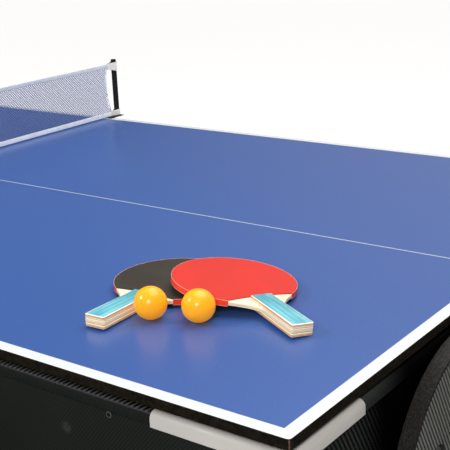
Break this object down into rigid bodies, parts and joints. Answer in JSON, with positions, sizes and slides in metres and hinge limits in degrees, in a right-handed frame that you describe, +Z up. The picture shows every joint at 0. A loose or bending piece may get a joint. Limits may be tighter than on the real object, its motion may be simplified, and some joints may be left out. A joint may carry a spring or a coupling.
{
  "type": "swivelling bumper pool and table tennis table",
  "caption": "Turn-over games table on rounded end panels, with a lift-off blue table-tennis top, net, bats and balls over a bumper-pool bed and a hockey bed.",
  "frame": {"origin": "on the floor, at the centre of the table's footprint", "axes": "+X along the table's length, +Y across it away from the long side that the bats lie near, +Z up"},
  "size_m": [2.417, 1.104, 0.93],
  "materials": {
    "carbon_panel": "carbon-look foil, grey and black slanted stripes",
    "carbon_apron": "carbon-look foil, dark",
    "carbon_rail": "carbon-look foil, satin",
    "cap_plastic": "light grey moulded, satin",
    "leather_edging": "fine leather grain, matt black",
    "black_lacquer": "black lacquer",
    "steel": "turned",
    "black_plastic": "moulded",
    "foot_rubber": "matt",
    "bed_board": "bare fibreboard",
    "green_cloth": "napped billiard cloth",
    "hockey_white": "smooth laminate",
    "bare_wood": "bare softwood",
    "blue_board": "blue satin lacquer, white border and centre lines, black edges",
    "foam_pad": "closed-cell foam",
    "black_metal": "satin black",
    "net_fabric": "fine knitted mesh with woven tapes",
    "bat_ply": "laminated plywood",
    "bat_grip": "turquoise stained scale with white border lines",
    "red_rubber": "matt sheet",
    "black_rubber": "matt sheet",
    "ball_orange": "satin celluloid"
  },
  "bodies": {
    "stand": {"end_panel_left": "carbon_panel", "panel_edging_left": "leather_edging", "foot_beam_left": "black_lacquer", "pivot_bush_left": "steel", "pivot_cover_left": "black_plastic", "end_panel_right": "carbon_panel", "panel_edging_right": "leather_edging", "foot_beam_right": "black_lacquer", "pivot_bush_right": "steel", "pivot_cover_right": "black_plastic", "stretcher": "black_lacquer"},
    "lock_pin_left": {"lock_pin_left": "black_plastic"},
    "leveler_left_front": {"leveler_left_front": "foot_rubber"},
    "leveler_left_back": {"leveler_left_back": "foot_rubber"},
    "lock_pin_right": {"lock_pin_right": "black_plastic"},
    "leveler_right_front": {"leveler_right_front": "foot_rubber"},
    "leveler_right_back": {"leveler_right_back": "foot_rubber"},
    "cabinet": {"apron_front": "carbon_apron", "top_rail_front": "carbon_rail", "apron_back": "carbon_apron", "top_rail_back": "carbon_rail", "apron_left": "carbon_apron", "top_rail_left": "carbon_rail", "corner_cap_front_left": "cap_plastic", "corner_cap_back_left": "cap_plastic", "pocket_cup_left": "black_plastic", "pivot_shaft_left": "steel", "apron_right": "carbon_apron", "top_rail_right": "carbon_rail", "corner_cap_front_right": "cap_plastic", "corner_cap_back_right": "cap_plastic", "pocket_cup_right": "black_plastic", "pivot_shaft_right": "steel", "lower_rail_frame": "carbon_rail", "pool_bed": "bed_board", "bed_cloth": "green_cloth", "cushion_frame": "green_cloth", "hockey_bed": "hockey_white", "centre_spine": "bare_wood"},
    "tennis_top": {"board_left": "blue_board", "board_pad_left": "foam_pad", "board_right": "blue_board", "board_pad_right": "foam_pad", "net_post_front": "black_metal", "net_bracket_front": "black_metal", "net_post_back": "black_metal", "net_bracket_back": "black_metal", "net": "net_fabric"},
    "bat_black": {"bat_black_blade": "bat_ply", "bat_black_rubber_top": "black_rubber", "bat_black_rubber_bottom": "red_rubber", "bat_black_grip_top": "bat_grip", "bat_black_grip_bottom": "bat_grip"},
    "bat_red": {"bat_red_blade": "bat_ply", "bat_red_rubber_top": "red_rubber", "bat_red_rubber_bottom": "black_rubber", "bat_red_grip_top": "bat_grip", "bat_red_grip_bottom": "bat_grip"},
    "ball_left": {"ball_left": "ball_orange"},
    "ball_right": {"ball_right": "ball_orange"}
  },
  "joints": [
    {"name": "leveler_left_front_screw", "type": "slide", "parent": "stand", "child": "leveler_left_front", "axis": [0, 0, -1], "range_m": [0, 0.012]},
    {"name": "leveler_left_back_screw", "type": "slide", "parent": "stand", "child": "leveler_left_back", "axis": [0, 0, -1], "range_m": [0, 0.012]},
    {"name": "lock_pin_left_push", "type": "slide", "parent": "stand", "child": "lock_pin_left", "axis": [1, 0, 0], "range_m": [0, 0.014]},
    {"name": "leveler_right_front_screw", "type": "slide", "parent": "stand", "child": "leveler_right_front", "axis": [0, 0, -1], "range_m": [0, 0.012]},
    {"name": "leveler_right_back_screw", "type": "slide", "parent": "stand", "child": "leveler_right_back", "axis": [0, 0, -1], "range_m": [0, 0.012]},
    {"name": "lock_pin_right_push", "type": "slide", "parent": "stand", "child": "lock_pin_right", "axis": [-1, 0, 0], "range_m": [0, 0.014]},
    {"name": "cabinet_flip", "type": "hinge", "parent": "stand", "child": "cabinet", "pos_m": [0, 0, 0.69], "axis": [-1, 0, 0], "range_deg": [0, 180]},
    {"name": "tennis_top_lift", "type": "slide", "parent": "cabinet", "child": "tennis_top", "axis": [0, 0, 1], "range_m": [0, 0.15]},
    {"name": "bat_red_lift", "type": "slide", "parent": "tennis_top", "child": "bat_red", "axis": [0, 0, 1], "range_m": [0, 0.1]},
    {"name": "bat_black_slide", "type": "slide", "parent": "tennis_top", "child": "bat_black", "axis": [-1, 0, 0], "range_m": [0, 0.1]},
    {"name": "ball_left_lift", "type": "slide", "parent": "tennis_top", "child": "ball_left", "axis": [0, 0, 1], "range_m": [0, 0.1]},
    {"name": "ball_right_lift", "type": "slide", "parent": "tennis_top", "child": "ball_right", "axis": [0, 0, 1], "range_m": [0, 0.1]}
  ]
}
